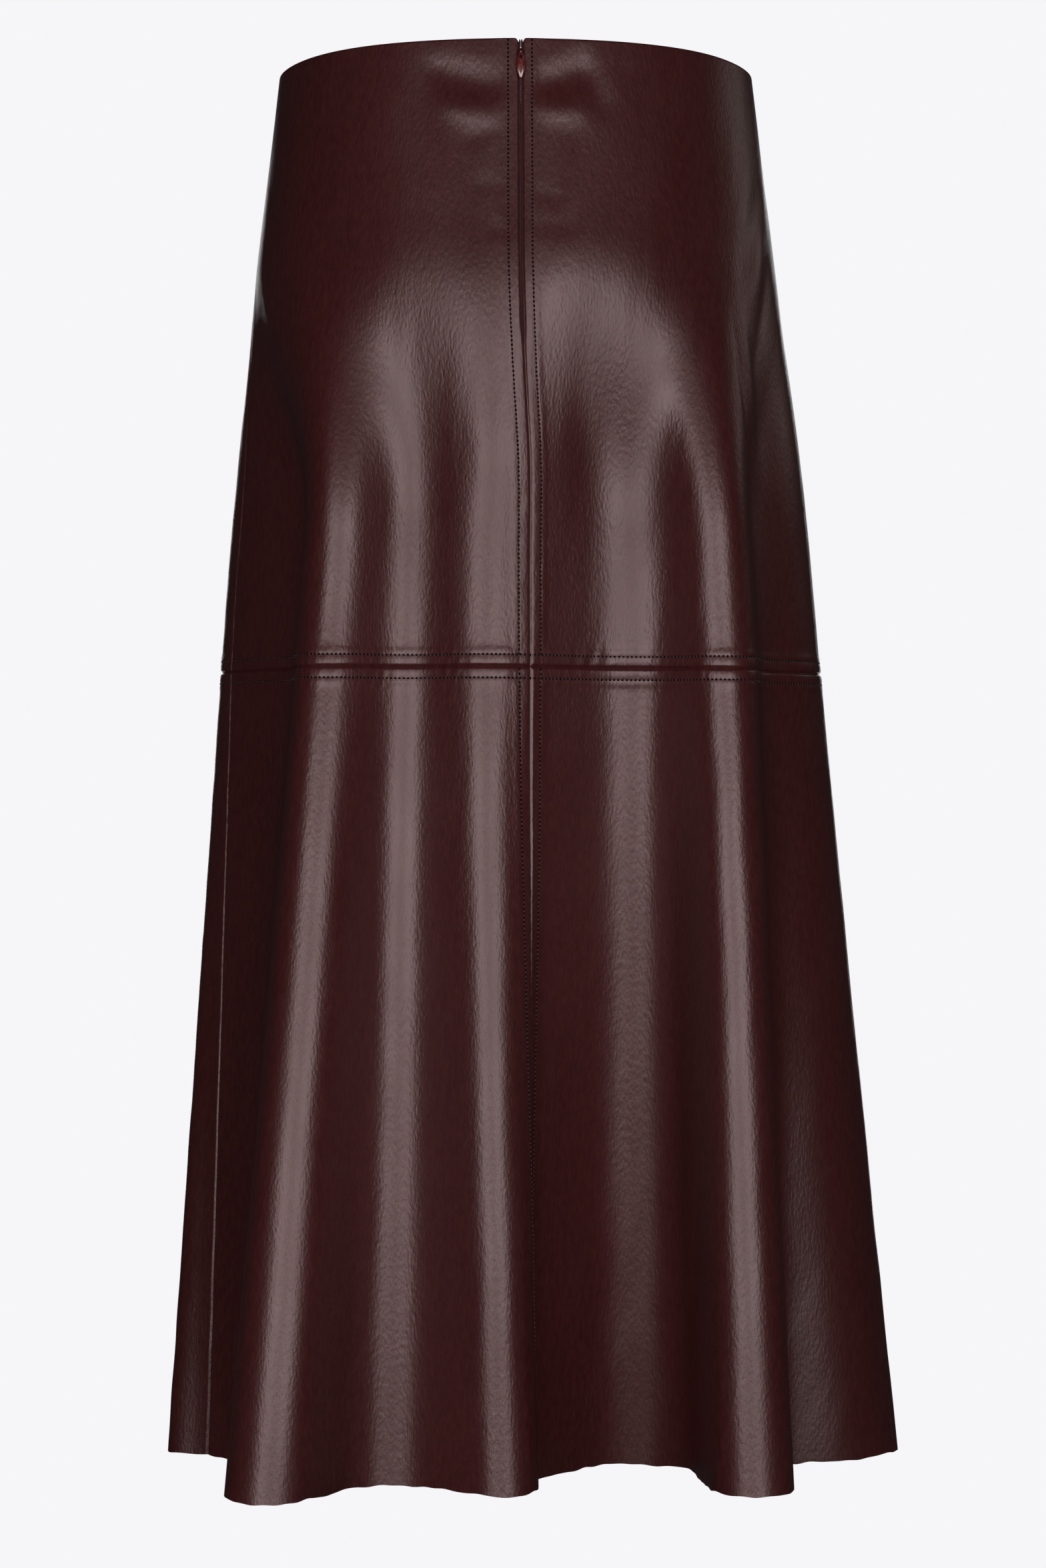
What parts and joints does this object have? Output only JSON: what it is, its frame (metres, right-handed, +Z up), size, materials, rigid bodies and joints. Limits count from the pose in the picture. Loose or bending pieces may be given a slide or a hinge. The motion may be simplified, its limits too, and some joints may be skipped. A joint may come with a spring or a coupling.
{
  "type": "a-line leather skirt",
  "caption": "Flared midi skirt in smooth leather-look cloth, filled out as worn, with a concealed zip at the centre back, a topstitched cross seam at the knee and a raw-cut hem.",
  "frame": {"origin": "centre of the waist edge, level with it", "axes": "+X to the wearer's right, +Y to the wearer's front, +Z up; the back with the zip faces -Y"},
  "size_m": [0.4144, 0.3385, 0.783],
  "materials": {
    "leather": "satin, fine upright grain, dark burgundy, with thread of the same colour",
    "zip_tape": "matte woven tape with a plastic coil, dark burgundy",
    "zip_metal": "glossy lacquer, burgundy"
  },
  "bodies": {
    "skirt": {"back_upper_left": "leather", "back_upper_right": "leather", "back_lower_left": "leather", "back_lower_right": "leather", "front_upper": "leather", "front_lower": "leather", "zip_tape_left": "zip_tape", "zip_tape_right": "zip_tape", "zip_slider": "zip_metal"},
    "pull": {"zip_pull": "zip_metal"}
  },
  "joints": [
    {"name": "pull_hinge", "type": "hinge", "parent": "skirt", "child": "pull", "pos_m": [0.00304, -0.10738, -0.0075], "axis": [-1, 0, 0], "range_deg": [0, 160]}
  ]
}
